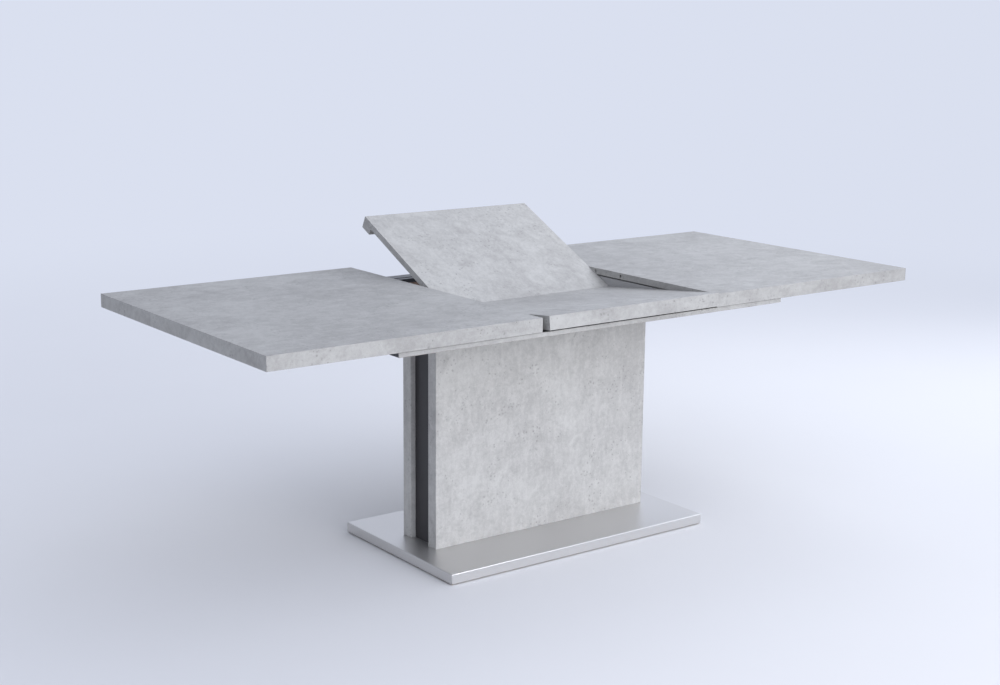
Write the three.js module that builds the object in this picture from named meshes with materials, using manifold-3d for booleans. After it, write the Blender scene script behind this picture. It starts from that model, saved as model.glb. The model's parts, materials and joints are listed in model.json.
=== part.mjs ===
// Extendable dining table: two sliding leaves, a fold-out insert in two halves, a slab pedestal
// and a base plate. Millimetres, +Z up. X runs along the table, Y across it. The origin is on the
// floor under the pedestal's centre.
import * as THREE from 'three';
import { mergeVertices } from 'three/addons/utils/BufferGeometryUtils.js';
import Module from 'manifold-3d';

const wasm = await Module();
wasm.setup();

// ---- Driving dimensions ----
const TABLE_H = 760;            // floor to the top of the leaves
const TABLE_W = 950;            // across the table
const LEAF_L = 800;             // one leaf along the table
const INSERT_L = 600;           // the insert along the table
const BOARD_T = 19;             // laminated board
const EDGE_T = 38;              // doubled edge that shows
const EDGE_W = 43;              // width of the doubling strip
const GAP = 0.3;                // between pieces that touch
const SEAM = 0.5;               // between the insert and a leaf pushed against it
const LEFT_OPEN = 18;           // how far the left leaf still stands off the insert

const BASE_L = 924;
const BASE_D = 548;
const BASE_TOP = 32;
const FOOT_GAP = 4;             // height that the glides lift the base plate
const SKIN_T = 1.5;             // steel sheet of the base plate
const PANEL_L = 770;
const PANEL_T = 38;
const PEDESTAL_D = 166;         // over both panels
const PANEL_TOP = 606;
const SPACER_INSET = 16;        // spacer boards stand back from the panels' ends
const SPACER_T = 18;

const FRAME_X0 = -755;          // ends of the frame's long rails
const FRAME_X1 = 560;
const RAIL_TOP = 720.4;
const RAIL_BOTTOM = 708.5;
const RAIL_IN = 400;            // rail, inner and outer face from the table's centre line
const RAIL_OUT = 466;
const APRON_OUT = 470;
const SLOT_Y = 423;             // centre of the T slot in each rail
const WELL_X = INSERT_L / 2 + 1.5;
const CROSS_T = 30;
const CROSS_Z = [690, 737];
const STIFFENER_Z = [693, RAIL_BOTTOM - GAP];
const RISER_L = 60;

const PIVOT_Y = 100;            // axis that the insert's rear half turns on
const PIVOT_Z = 722;
const REAR_TILT = 26;           // degrees that the rear half stands up from flat
const FOLD_RATIO = 1.24;        // fold at the centre hinge for each degree of tilt
const PIN_R = 5;
const DOWEL_R = 4;
const DOWEL_Y = 58;
const BARREL_R = 6;
const HINGE_X = [-210, 0, 210];

// ---- Materials ----
const finish = (color, roughness, metalness = 0) => () =>
  new THREE.MeshStandardMaterial({ color, roughness, metalness });
const laminate = finish('#b9b9bb', 0.55);
const brushedSteel = finish('#a9a8a6', 0.32, 1);
const blackLaminate = finish('#2a282b', 0.6);
const coreBoard = finish('#a98c66', 0.8);
const greyWood = finish('#a6a5a3', 0.7);
const darkWood = finish('#4a342a', 0.7);
const darkMetal = finish('#2c2c2f', 0.45, 0.8);
const zincSteel = finish('#b8bbbe', 0.35, 1);
const plastic = finish('#1d1d1f', 0.5);
const beech = finish('#c79d6b', 0.6);

// ---- Shape helpers ----
const solidOf = (geometry) => {
  const bare = geometry.clone();
  bare.deleteAttribute('normal');
  bare.deleteAttribute('uv');
  const merged = mergeVertices(bare, 1e-4);
  return new wasm.Manifold(new wasm.Mesh({
    numProp: 3,
    vertProperties: new Float32Array(merged.attributes.position.array),
    triVerts: new Uint32Array(merged.index.array),
  }));
};

const geometryOf = (solid) => {
  const mesh = solid.getMesh();
  const geometry = new THREE.BufferGeometry();
  geometry.setAttribute('position', new THREE.BufferAttribute(mesh.vertProperties, 3));
  geometry.setIndex(new THREE.BufferAttribute(mesh.triVerts, 1));
  return geometry;
};

const cut = (body, ...tools) =>
  geometryOf(tools.reduce((left, tool) => left.subtract(solidOf(tool)), solidOf(body)));

const join = (body, ...others) =>
  geometryOf(others.reduce((whole, other) => whole.add(solidOf(other)), solidOf(body)));

const block = ([x0, x1], [y0, y1], [z0, z1]) => {
  const geometry = new THREE.BoxGeometry(x1 - x0, y1 - y0, z1 - z0);
  return geometry.translate((x0 + x1) / 2, (y0 + y1) / 2, (z0 + z1) / 2);
};

const rodX = (radius, [x0, x1], y, z) => {
  const geometry = new THREE.CylinderGeometry(radius, radius, x1 - x0, 32).rotateZ(Math.PI / 2);
  return geometry.translate((x0 + x1) / 2, y, z);
};

const rodY = (radius, x, [y0, y1], z) => {
  const geometry = new THREE.CylinderGeometry(radius, radius, y1 - y0, 32);
  return geometry.translate(x, (y0 + y1) / 2, z);
};

const turned = (profile, x, y, segments = 32) => {
  const points = profile.map(([r, z]) => new THREE.Vector2(r, z));
  return new THREE.LatheGeometry(points, segments).rotateX(Math.PI / 2).translate(x, y, 0);
};

// An outline in the Y-Z plane, drawn for the rear side, pushed along X. side -1 mirrors it to the front.
const bar = (outline, [x0, x1], side = 1) => {
  const shape = new THREE.Shape(outline.map(([y, z]) => new THREE.Vector2(side * y, z)));
  const geometry = new THREE.ExtrudeGeometry(shape, { depth: x1 - x0, bevelEnabled: false });
  const turn = new THREE.Matrix4().makeBasis(
    new THREE.Vector3(0, 1, 0), new THREE.Vector3(0, 0, 1), new THREE.Vector3(1, 0, 0));
  return geometry.applyMatrix4(turn).translate(x0, 0, 0);
};

const span = (a, b) => [Math.min(a, b), Math.max(a, b)];

const piece = (parent, name, geometry, material) => {
  const mesh = new THREE.Mesh(geometry, material());
  mesh.name = name;
  parent.add(mesh);
};

const SIDES = [['front', -1], ['rear', 1]];
const ENDS = [['left', -1], ['right', 1]];

// ---- Base plate: steel tray over a board, on five glides ----
const RODS_X = [-280, -120, 120, 280];
const ROD_R = 5;
const ROD_HOLE_R = 5.5;
const ROD_HEAD = { radius: 9, height: 6 };
const COUNTERBORE = { radius: 13, top: 14 };
const GLIDE_R = 20;
const GLIDE_INSET = 48;         // from the plate's edges to a glide's centre

const rodHole = (x, [z0, z1], radius = ROD_HOLE_R) =>
  turned([[0, z0], [radius, z0], [radius, z1], [0, z1]], x, 0);

const makeBase = (table) => {
  const half = [BASE_L / 2, BASE_D / 2];
  const skinTop = BASE_TOP - SKIN_T;
  const holes = RODS_X.map((x) => rodHole(x, [0, BASE_TOP + 10]));
  const inside = half.map((value) => value - SKIN_T);
  const tray = cut(
    block([-half[0], half[0]], [-half[1], half[1]], [FOOT_GAP, BASE_TOP]),
    block([-inside[0], inside[0]], [-inside[1], inside[1]], [0, skinTop]),
    ...holes);
  piece(table, 'base_skin', tray, brushedSteel);

  const core = inside.map((value) => value - GAP);
  const counterbores = RODS_X.map((x) => rodHole(x, [0, COUNTERBORE.top], COUNTERBORE.radius));
  const coreBottom = FOOT_GAP + 1;
  const board = cut(
    block([-core[0], core[0]], [-core[1], core[1]], [coreBottom, skinTop - GAP]),
    ...holes, ...counterbores);
  piece(table, 'base_core', board, coreBoard);

  const glideTop = coreBottom - GAP;
  const glide = [[0, 0], [GLIDE_R - 2, 0], [GLIDE_R, 1.5], [GLIDE_R, glideTop], [0, glideTop]];
  piece(table, 'glide_centre', turned(glide, 0, 0, 40), plastic);
  ENDS.forEach(([end, ex]) => SIDES.forEach(([side, sy]) => {
    const geometry = turned(glide, ex * (half[0] - GLIDE_INSET), sy * (half[1] - GLIDE_INSET), 40);
    piece(table, `glide_${end}_${side}`, geometry, plastic);
  }));
};

// ---- Pedestal: two slabs, black spacer boards between them, clamped by four tie rods ----
const makePedestal = (table) => {
  const panelZ = [BASE_TOP + GAP, PANEL_TOP];
  const outer = PEDESTAL_D / 2;
  const inner = outer - PANEL_T;
  SIDES.forEach(([side, sy]) => {
    const slab = block([-PANEL_L / 2, PANEL_L / 2], span(sy * inner, sy * outer), panelZ);
    piece(table, `pedestal_panel_${side}`, slab, laminate);
  });

  const spacerOut = PANEL_L / 2 - SPACER_INSET;
  const capZ = [PANEL_TOP - BOARD_T, PANEL_TOP];
  ENDS.forEach(([end, ex]) => {
    const across = [-inner + GAP, inner - GAP];
    const board = block(span(ex * (spacerOut - SPACER_T), ex * spacerOut), across,
      [panelZ[0], capZ[0] - GAP]);
    piece(table, `pedestal_spacer_${end}`, board, blackLaminate);
  });

  const rodHoles = RODS_X.map((x) => rodHole(x, [capZ[0] - 10, capZ[1] + 10]));
  const cap = cut(block([-spacerOut, spacerOut], [-inner + GAP, inner - GAP], capZ), ...rodHoles);
  piece(table, 'pedestal_cap', cap, blackLaminate);

  const headTop = COUNTERBORE.top - GAP;
  const headBottom = headTop - ROD_HEAD.height;
  const nut = [PANEL_TOP + GAP, PANEL_TOP + 8];
  const rodEnd = nut[1] + 4;
  const rod = [
    [0, headBottom], [ROD_HEAD.radius, headBottom], [ROD_HEAD.radius, headTop], [ROD_R, headTop],
    [ROD_R, nut[0]], [ROD_HEAD.radius, nut[0]], [ROD_HEAD.radius, nut[1]], [ROD_R, nut[1]],
    [ROD_R, rodEnd], [0, rodEnd],
  ];
  RODS_X.forEach((x, i) => piece(table, `tie_rod_${i + 1}`, turned(rod, x, 0), zincSteel));
};

// ---- Frame: risers, two cross rails, two slotted long rails with aprons, stiffeners and end rails ----
const T_SLOT = { neck: 4, foot: 8, lip: 716.5, floor: 711.5 };   // half widths, and heights
const RISER_WALL = 3;
const STIFFENER_T = 14;
const END_RAIL_T = 18;
const END_RAIL_INSET = 37;      // from the ends of the long rails
const END_RAIL_Z = [696, 716];
const PLUG_L = 10;

const makeFrame = (table) => {
  const riserZ = [PANEL_TOP + GAP, CROSS_Z[0] - GAP];
  const ringInner = RAIL_IN - 2 * GAP;
  ENDS.forEach(([end, ex]) => {
    const outside = block(span(ex * WELL_X, ex * (WELL_X + RISER_L)), [-PEDESTAL_D / 2, PEDESTAL_D / 2],
      riserZ);
    const bore = block(span(ex * (WELL_X + RISER_WALL), ex * (WELL_X + RISER_L - RISER_WALL)),
      [-PEDESTAL_D, PEDESTAL_D], [riserZ[0] + RISER_WALL, riserZ[1] - RISER_WALL]);
    piece(table, `riser_${end}`, cut(outside, bore), darkMetal);

    const rail = block(span(ex * WELL_X, ex * (WELL_X + CROSS_T)), [-ringInner, ringInner], CROSS_Z);
    const bearing = rodX(PIN_R + GAP, span(ex * (WELL_X - CROSS_T), ex * (WELL_X + 2 * CROSS_T)),
      PIVOT_Y, PIVOT_Z);
    piece(table, `cross_rail_${end}`, cut(rail, bearing), greyWood);
  });

  const section = [
    [RAIL_IN, RAIL_BOTTOM], [RAIL_OUT, RAIL_BOTTOM], [RAIL_OUT, RAIL_TOP],
    [SLOT_Y + T_SLOT.neck, RAIL_TOP], [SLOT_Y + T_SLOT.neck, T_SLOT.lip],
    [SLOT_Y + T_SLOT.foot, T_SLOT.lip], [SLOT_Y + T_SLOT.foot, T_SLOT.floor],
    [SLOT_Y - T_SLOT.foot, T_SLOT.floor], [SLOT_Y - T_SLOT.foot, T_SLOT.lip],
    [SLOT_Y - T_SLOT.neck, T_SLOT.lip], [SLOT_Y - T_SLOT.neck, RAIL_TOP], [RAIL_IN, RAIL_TOP],
  ];
  const endRails = {
    left: [FRAME_X0 + END_RAIL_INSET, FRAME_X0 + END_RAIL_INSET + END_RAIL_T],
    right: [FRAME_X1 - END_RAIL_INSET - END_RAIL_T, FRAME_X1 - END_RAIL_INSET],
  };
  const stiffenerX = [endRails.left[0], endRails.right[1]];
  SIDES.forEach(([side, sy]) => {
    piece(table, `rail_${side}`, bar(section, [FRAME_X0, FRAME_X1], sy), darkMetal);
    const apron = block([FRAME_X0, FRAME_X1], span(sy * (RAIL_OUT + GAP), sy * APRON_OUT),
      [RAIL_BOTTOM, RAIL_TOP]);
    piece(table, `apron_${side}`, apron, laminate);
    const stiffener = block(stiffenerX, span(sy * RAIL_IN, sy * (RAIL_IN + STIFFENER_T)),
      STIFFENER_Z);
    piece(table, `stiffener_${side}`, stiffener, darkWood);
  });
  ENDS.forEach(([end]) =>
    piece(table, `end_rail_${end}`, block(endRails[end], [-ringInner, ringInner], END_RAIL_Z), darkWood));

  // A plug in each end of each T slot stops the leaf's runner from sliding out.
  const plugZ = [T_SLOT.floor + GAP, T_SLOT.lip - 1];
  const plugX = { left: [FRAME_X0, FRAME_X0 + PLUG_L], right: [FRAME_X1 - PLUG_L, FRAME_X1] };
  ENDS.forEach(([end]) => SIDES.forEach(([side, sy]) => {
    const reach = T_SLOT.foot - GAP;
    const plug = block(plugX[end], span(sy * (SLOT_Y - reach), sy * (SLOT_Y + reach)), plugZ);
    piece(table, `slot_stop_${end}_${side}`, plug, plastic);
  }));
};

// ---- Leaves: a board with doubled outer edges, and a T runner under each long side ----
const STRIP_Z = [TABLE_H - EDGE_T, TABLE_H - BOARD_T - GAP];
const BOARD_Z = [TABLE_H - BOARD_T, TABLE_H];
const DOWEL_Z = TABLE_H - BOARD_T / 2;
const DOWEL_REACH = 14;         // to each side of the leaf's edge
const STEM = { neck: 3, flange: 7, footHalf: T_SLOT.foot - 1.5 };   // half widths of a runner
const RUNNER_INSET = 12;

const makeLeaf = (end, ex, innerX, footX) => {
  const leaf = new THREE.Group();
  const half = TABLE_W / 2;
  const outerX = innerX + ex * LEAF_L;
  const holes = [-DOWEL_Y, DOWEL_Y].map((y) =>
    rodX(DOWEL_R + GAP, span(innerX - ex * 5, innerX + ex * (DOWEL_REACH + 2)), y, DOWEL_Z));
  const board = cut(block(span(innerX, outerX), [-half, half], BOARD_Z), ...holes);
  piece(leaf, `leaf_${end}`, board, laminate);

  const strip = half - EDGE_W;
  SIDES.forEach(([side, sy]) => {
    const edge = block(span(innerX, outerX), span(sy * strip, sy * half), STRIP_Z);
    piece(leaf, `leaf_${end}_edge_${side}`, edge, laminate);
  });
  const endEdge = block(span(outerX, outerX - ex * EDGE_W), [-strip + GAP, strip - GAP], STRIP_Z);
  piece(leaf, `leaf_${end}_edge_end`, endEdge, laminate);

  // The stem hangs under the board and into the slot's neck; the foot under it runs in the slot.
  const { neck, flange, footHalf } = STEM;
  const shoulder = RAIL_TOP + 2 * GAP;
  const stemEnd = T_SLOT.lip - GAP;
  const stem = [
    [SLOT_Y - flange, shoulder], [SLOT_Y - neck, shoulder], [SLOT_Y - neck, stemEnd],
    [SLOT_Y + neck, stemEnd], [SLOT_Y + neck, shoulder], [SLOT_Y + flange, shoulder],
    [SLOT_Y + flange, STRIP_Z[1]], [SLOT_Y - flange, STRIP_Z[1]],
  ];
  const footZ = [T_SLOT.floor + 0.5, T_SLOT.lip - 0.7];
  const foot = [
    [SLOT_Y - footHalf, footZ[0]], [SLOT_Y + footHalf, footZ[0]],
    [SLOT_Y + footHalf, footZ[1]], [SLOT_Y + neck, footZ[1]],
    [SLOT_Y + neck, T_SLOT.lip + 1], [SLOT_Y - neck, T_SLOT.lip + 1],
    [SLOT_Y - neck, footZ[1]], [SLOT_Y - footHalf, footZ[1]],
  ];
  const stemX = span(innerX + ex * RUNNER_INSET, outerX - ex * (EDGE_W + GAP));
  SIDES.forEach(([side, sy]) => {
    const runner = join(bar(stem, stemX, sy), bar(foot, footX, sy));
    piece(leaf, `leaf_${end}_runner_${side}`, runner, darkWood);
  });
  return leaf;
};

const makeLeftDowels = (leaf, innerX) => SIDES.forEach(([side, sy]) => {
  const dowel = rodX(DOWEL_R, [innerX - DOWEL_REACH, innerX + DOWEL_REACH], sy * DOWEL_Y, DOWEL_Z);
  piece(leaf, `dowel_${side}`, dowel, beech);
});

// ---- Insert: two halves hinged together along the table's centre line ----
// Each half is drawn lying flat, then turned by its group.
const BARREL_L = 24;
const BARREL_SINK = 0.6;        // barrel's face below the board's edge

const makeInsertHalf = (group, side, sy) => {
  const half = TABLE_W / 2;
  const acrossX = [-INSERT_L / 2, INSERT_L / 2];
  const barrelY = span(sy * BARREL_SINK, sy * (BARREL_SINK + BARREL_L));
  const boreY = span(sy * -5, sy * (BARREL_SINK + BARREL_L + GAP));
  const holes = HINGE_X.map((x) => rodY(BARREL_R + GAP, x, boreY, DOWEL_Z));
  const dowelHole = [acrossX[0] - 5, acrossX[0] + DOWEL_REACH + 3];
  holes.push(rodX(DOWEL_R + 0.5, dowelHole, sy * DOWEL_Y, DOWEL_Z));
  const board = cut(block(acrossX, span(sy * GAP / 2, sy * half), BOARD_Z), ...holes);
  piece(group, `insert_${side}`, board, laminate);

  const edge = block(acrossX, span(sy * (half - EDGE_W), sy * half), STRIP_Z);
  piece(group, `insert_${side}_edge`, edge, laminate);
  HINGE_X.forEach((x, i) => {
    piece(group, `hinge_barrel_${side}_${i + 1}`, rodY(BARREL_R, x, barrelY, DOWEL_Z), zincSteel);
  });
};

// An angle bracket under each end of the rear half, with a pin that turns in the cross rail.
const BRACKET = { t: 3, inset: 11, foot: 36, halfW: 30, earHalfW: 14, drop: 12 };

const makePivots = (group) => ENDS.forEach(([end, ex]) => {
  const plateX = [INSERT_L / 2 - BRACKET.inset - BRACKET.t, INSERT_L / 2 - BRACKET.inset];
  const under = STRIP_Z[1];
  const flange = block(span(ex * (plateX[0] - BRACKET.foot), ex * plateX[1]),
    [PIVOT_Y - BRACKET.halfW, PIVOT_Y + BRACKET.halfW], [under - BRACKET.t, under]);
  const ear = block(span(ex * plateX[0], ex * plateX[1]),
    [PIVOT_Y - BRACKET.earHalfW, PIVOT_Y + BRACKET.earHalfW], [PIVOT_Z - BRACKET.drop, under - 1]);
  const eye = rodX(PIN_R + GAP, span(ex * (plateX[0] - 5), ex * (plateX[1] + 5)), PIVOT_Y, PIVOT_Z);
  piece(group, `pivot_bracket_${end}`, cut(join(flange, ear), eye), zincSteel);

  const headX = plateX[0] - 4;
  const shank = rodX(PIN_R, span(ex * headX, ex * (WELL_X + 20)), PIVOT_Y, PIVOT_Z);
  const head = rodX(PIN_R + 3, span(ex * headX, ex * (plateX[0] - GAP)), PIVOT_Y, PIVOT_Z);
  piece(group, `pivot_pin_${end}`, join(shank, head), zincSteel);
});

// A group that turns about an X axis through (y, z), with its contents drawn in the table's own frame.
const turnedAbout = (parent, y, z, degrees) => {
  const turn = new THREE.Group();
  turn.position.set(0, y, z);
  turn.rotation.x = THREE.MathUtils.degToRad(degrees);
  const inner = new THREE.Group();
  inner.position.set(0, -y, -z);
  turn.add(inner);
  parent.add(turn);
  return inner;
};

// ---- Assembly ----
const table = new THREE.Group();
makeBase(table);
makePedestal(table);
makeFrame(table);

const leftInner = -INSERT_L / 2 - SEAM - LEFT_OPEN;
const rightInner = INSERT_L / 2 + SEAM;
const plugFace = PLUG_L + GAP;
const leftFoot = [FRAME_X0 + plugFace, leftInner - RUNNER_INSET];
const leftLeaf = makeLeaf('left', -1, leftInner, leftFoot);
makeLeftDowels(leftLeaf, leftInner);
const rightFoot = [rightInner + RUNNER_INSET, FRAME_X1 - plugFace - LEFT_OPEN];
const rightLeaf = makeLeaf('right', 1, rightInner, rightFoot);
table.add(leftLeaf, rightLeaf);

const rearHalf = turnedAbout(table, PIVOT_Y, PIVOT_Z, REAR_TILT);
makeInsertHalf(rearHalf, 'rear', 1);
makePivots(rearHalf);
const frontHalf = turnedAbout(rearHalf, 0, TABLE_H, -FOLD_RATIO * REAR_TILT);
makeInsertHalf(frontHalf, 'front', -1);

export default table;
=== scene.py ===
import json
import math

import bmesh
import bpy
from bpy.props import FloatProperty, FloatVectorProperty, PointerProperty
from mathutils import Matrix, Vector


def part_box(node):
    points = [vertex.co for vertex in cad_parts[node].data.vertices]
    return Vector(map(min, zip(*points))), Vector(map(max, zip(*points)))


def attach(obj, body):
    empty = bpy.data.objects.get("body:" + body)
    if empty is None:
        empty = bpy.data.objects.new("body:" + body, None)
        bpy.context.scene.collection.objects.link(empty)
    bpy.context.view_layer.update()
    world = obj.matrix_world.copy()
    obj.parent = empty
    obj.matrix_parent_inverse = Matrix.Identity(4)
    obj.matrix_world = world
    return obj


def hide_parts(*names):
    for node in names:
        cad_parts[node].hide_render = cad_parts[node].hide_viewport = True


bl_info = {
    "name": "Extendable Dining Table",
    "version": (1, 0, 0),
    "blender": (4, 5, 0),
    "location": "View3D > Sidebar > Table",
    "description": "Builds the boards, base, frame and fittings of an extendable dining table",
    "category": "Add Mesh",
}

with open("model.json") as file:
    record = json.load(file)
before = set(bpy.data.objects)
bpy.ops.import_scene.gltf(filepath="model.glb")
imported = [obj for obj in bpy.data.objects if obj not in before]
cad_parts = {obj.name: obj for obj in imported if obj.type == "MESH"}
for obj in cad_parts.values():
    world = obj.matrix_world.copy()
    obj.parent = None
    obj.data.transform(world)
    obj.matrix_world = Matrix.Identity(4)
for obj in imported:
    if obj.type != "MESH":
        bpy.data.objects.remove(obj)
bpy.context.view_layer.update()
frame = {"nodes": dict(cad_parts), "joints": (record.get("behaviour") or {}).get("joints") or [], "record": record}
RECORD = frame["record"]
MM = 0.001
SIDES = (("front", -1), ("rear", 1))
ENDS = (("left", -1), ("right", 1))


def linear(code):
    """An sRGB hex colour as linear red, green and blue."""
    values = [int(code[i:i + 2], 16) / 255 for i in (1, 3, 5)]
    return tuple(v / 12.92 if v <= 0.04045 else ((v + 0.055) / 1.055) ** 2.4 for v in values)


# ---- Places from the frame ----

def joint(name):
    """The record's row for one joint."""
    return next(row for row in frame["joints"] if row["name"] == name)


def turn_x(point, angle):
    """A turn about the X axis through a point."""
    place = Matrix.Translation(point)
    return place @ Matrix.Rotation(angle, 4, "X") @ place.inverted()


# The insert stands part-way open at rest. Its halves are modelled lying flat and then turned.
TILT = -math.radians(joint("insert_tilt")["range_deg"][0])
FOLD = TILT * RECORD["behaviour"]["couplings"][0]["ratio"]
LEVEL = Matrix.Identity(4)
REAR_TURN = turn_x(joint("insert_tilt")["pos_m"], TILT)
CREASE = REAR_TURN.inverted() @ Vector(joint("insert_fold")["pos_m"])
FRONT_TURN = REAR_TURN @ turn_x(CREASE, FOLD)
TURNS = {"front": FRONT_TURN, "rear": REAR_TURN}


def flat_box(node, turn=LEVEL):
    """A node's lowest and highest corners before the turn."""
    points = [turn.inverted() @ v.co for v in frame["nodes"][node].data.vertices]
    low = Vector([min(p[i] for p in points) for i in range(3)])
    high = Vector([max(p[i] for p in points) for i in range(3)])
    return low, high


# ---- Mesh helpers ----

def sharp(bm, degrees=30):
    """The edges where two faces meet at more than a few degrees."""
    limit = math.radians(degrees)
    return [e for e in bm.edges if e.is_manifold and e.calc_face_angle(0) > limit]


def soften(bm, width, segments=3, edges=None):
    """Rounds the given edges, or all sharp ones, and shades only the rounding smooth."""
    made = bmesh.ops.bevel(
        bm, geom=sharp(bm) if edges is None else edges, offset=width, offset_type="OFFSET",
        affect="EDGES", segments=segments, profile=0.5, material=-1, clamp_overlap=True)
    for face in made["faces"]:
        face.smooth = True
    return bm


def block(low, high):
    """A square-edged block between two corners."""
    bm = bmesh.new()
    low, high = Vector(low), Vector(high)
    bmesh.ops.create_cube(bm, size=1.0)
    bmesh.ops.scale(bm, vec=high - low, verts=bm.verts)
    bmesh.ops.translate(bm, vec=(low + high) / 2, verts=bm.verts)
    return bm


def cuboid(low, high, edge, segments=2):
    """A block between two corners with rounded edges."""
    return soften(block(low, high), edge, segments)


def merged_copy(node, turn=LEVEL):
    """A node's own shape before the turn, its triangles merged into flat faces."""
    bm = bmesh.new()
    bm.from_mesh(frame["nodes"][node].data)
    bmesh.ops.transform(bm, matrix=turn.inverted(), verts=bm.verts)
    bmesh.ops.remove_doubles(bm, verts=bm.verts, dist=0.02 * MM)
    bmesh.ops.dissolve_limit(bm, angle_limit=math.radians(1), verts=bm.verts, edges=bm.edges)
    return bm


def eased_copy(node, edge, turn=LEVEL):
    """A node's own shape before the turn, with rounded edges."""
    return soften(merged_copy(node, turn), edge, 2)


def lathe(profile, steps=32):
    """A shape turned about Z from a profile of (radius, height), closed at both ends on the axis."""
    bm = bmesh.new()
    verts = [bm.verts.new((r, 0, z)) for r, z in profile]
    edges = [bm.edges.new(pair) for pair in zip(verts, verts[1:])]
    bmesh.ops.spin(bm, geom=verts + edges, cent=(0, 0, 0), axis=(0, 0, 1),
                   angle=math.tau, steps=steps, use_merge=True)
    bmesh.ops.remove_doubles(bm, verts=bm.verts, dist=0.01 * MM)
    bmesh.ops.recalc_face_normals(bm, faces=bm.faces)
    for face in bm.faces:
        face.smooth = abs(face.normal.z) < 0.98
    return bm


def aim(bm, place, direction):
    """Moves a shape made about +Z so that +Z points along a direction from a place."""
    turn = Vector(direction).to_track_quat("Z", "Y").to_matrix().to_4x4()
    bmesh.ops.transform(bm, matrix=Matrix.Translation(place) @ turn, verts=bm.verts)
    return bm


def gather(parts):
    """One bmesh that holds several, each still a shell of its own."""
    whole = bmesh.new()
    for part in parts:
        mesh = bpy.data.meshes.new("part")
        part.to_mesh(mesh)
        part.free()
        whole.from_mesh(mesh)
        bpy.data.meshes.remove(mesh)
    return whole


def sink(bm, height, rim, depth, reach):
    """Sinks a pocket in the flat end at a height, its outline at a reach that depends on the angle."""
    flat = [f for f in bm.faces if all(abs(v.co.z - height) < 1e-7 for v in f.verts)]
    lid = bmesh.ops.dissolve_faces(bm, faces=flat)["region"][0]
    bmesh.ops.inset_individual(bm, faces=[lid], thickness=rim)
    for vert in lid.verts:
        angle = math.atan2(vert.co.y, vert.co.x)
        vert.co.x, vert.co.y = reach(angle) * math.cos(angle), reach(angle) * math.sin(angle)
    floor = bmesh.ops.extrude_discrete_faces(bm, faces=[lid])["faces"][0]
    bmesh.ops.translate(bm, vec=(0, 0, depth), verts=floor.verts)
    return floor


def recess_radius(angle, size, arms):
    """How far a driver recess reaches at an angle: a hexagon for six arms, a cross for four."""
    if arms == 6:
        step = math.radians(60)
        return size / math.cos((angle + step / 2) % step - step / 2)
    near_arm = abs(math.cos(2 * angle)) > 0.9
    return size if near_arm else size * 0.42


def screw_head(place, direction, radius, height, crown=0.35, arms=4):
    """A round head with a driver recess, which stands at a place and faces a direction."""
    rim = height * (1 - crown)
    profile = [(0, 0), (radius, 0), (radius, rim), (radius * 0.88, rim + height * crown * 0.7),
               (radius * 0.7, height), (0, height)]
    bm = lathe(profile, steps=24)
    floor = sink(bm, height, radius * 0.1, -height * 0.6, lambda a: recess_radius(a, radius * 0.5, arms))
    bmesh.ops.scale(bm, vec=(0.6, 0.6, 1), verts=floor.verts)
    return aim(bm, place, direction)


def hexagon(radius, low, high):
    """A hexagonal head or nut with softened edges, standing about Z."""
    bm = bmesh.new()
    bmesh.ops.create_cone(bm, cap_ends=True, segments=6, radius1=radius, radius2=radius, depth=high - low)
    bmesh.ops.translate(bm, vec=(0, 0, (low + high) / 2), verts=bm.verts)
    return soften(bm, radius * 0.07, 2)


# ---- What a user would change ----

def size_field(name, about, usual, low, high):
    """A length in millimetres that a user may change."""
    return FloatProperty(name=name, description=about, default=usual * MM, min=low * MM, max=high * MM,
                         unit="LENGTH")


def colour_field(name, about, code):
    """A colour that a user may change, set from its sRGB hex code."""
    return FloatVectorProperty(name=name, description=about, subtype="COLOR", size=3, min=0, max=1,
                               default=linear(code))


def power_field(name, about, usual):
    """A light's power that a user may change."""
    return FloatProperty(name=name, description=about, default=usual, min=0, unit="POWER")


class TableSizes(bpy.types.PropertyGroup):
    """Fine sizes of the boards and fittings, which the frame leaves open."""

    band: size_field("Edge band", "Thickness of the band glued round a board", 1.5, 0.3, 3)
    band_round: size_field("Band rounding", "Radius along the edges of a band", 0.5, 0.1, 1)
    board_round: size_field("Board rounding", "Radius along the edges of a bare board", 0.4, 0.1, 1)
    sheet_bend: size_field("Sheet bend", "Outside radius where the base's sheet is folded", 2.2, 0.5, 4)
    tube_round: size_field("Tube rounding", "Radius along the corners of the riser tubes", 2.4, 0.5, 2.8)
    batten_round: size_field("Batten rounding", "Radius along the edges of the battens", 1.5, 0.2, 3)


class TableColours(bpy.types.PropertyGroup):
    """The colours that the finishes are mixed from."""

    cement_light: colour_field("Light cement", "Bloom in the concrete decor", "#b4b3af")
    cement_dark: colour_field("Dark cement", "Damp-looking patches in the concrete decor", "#999794")
    cement_pit: colour_field("Pits", "Small pits in the concrete decor", "#6f6d6a")
    steel: colour_field("Stainless steel", "The base plate's sheet", "#c4c1be")
    black_board: colour_field("Black board", "Laminate of the boards between the slabs", "#2b292b")
    dark_wood: colour_field("Stained wood", "Stain on the battens and runners", "#4b3a33")
    grey_foil: colour_field("Grey foil", "Foil on the cross rails", "#a3a2a1")


class StudioSettings(bpy.types.PropertyGroup):
    """The floor, lights and lens."""

    floor: colour_field("Floor", "Paper on the studio floor", "#e0e0e1")
    air: colour_field("Surroundings", "Colour of the white room round the table", "#dfe5f5")
    key_power: power_field("Key light", "Power of the large light at the front", 90.0)
    side_power: power_field("Side light", "Power of the light at the right", 25.0)
    top_power: power_field("Overhead light", "Power of the light above the right leaf", 18.0)
    lens: FloatProperty(
        name="Lens", description="Focal length of the camera on a 36 mm sensor, in millimetres",
        default=57.64, min=10, max=300)


GROUPS = {"table_sizes": TableSizes, "table_colours": TableColours, "table_studio": StudioSettings}


# ---- Finishes ----

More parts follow.
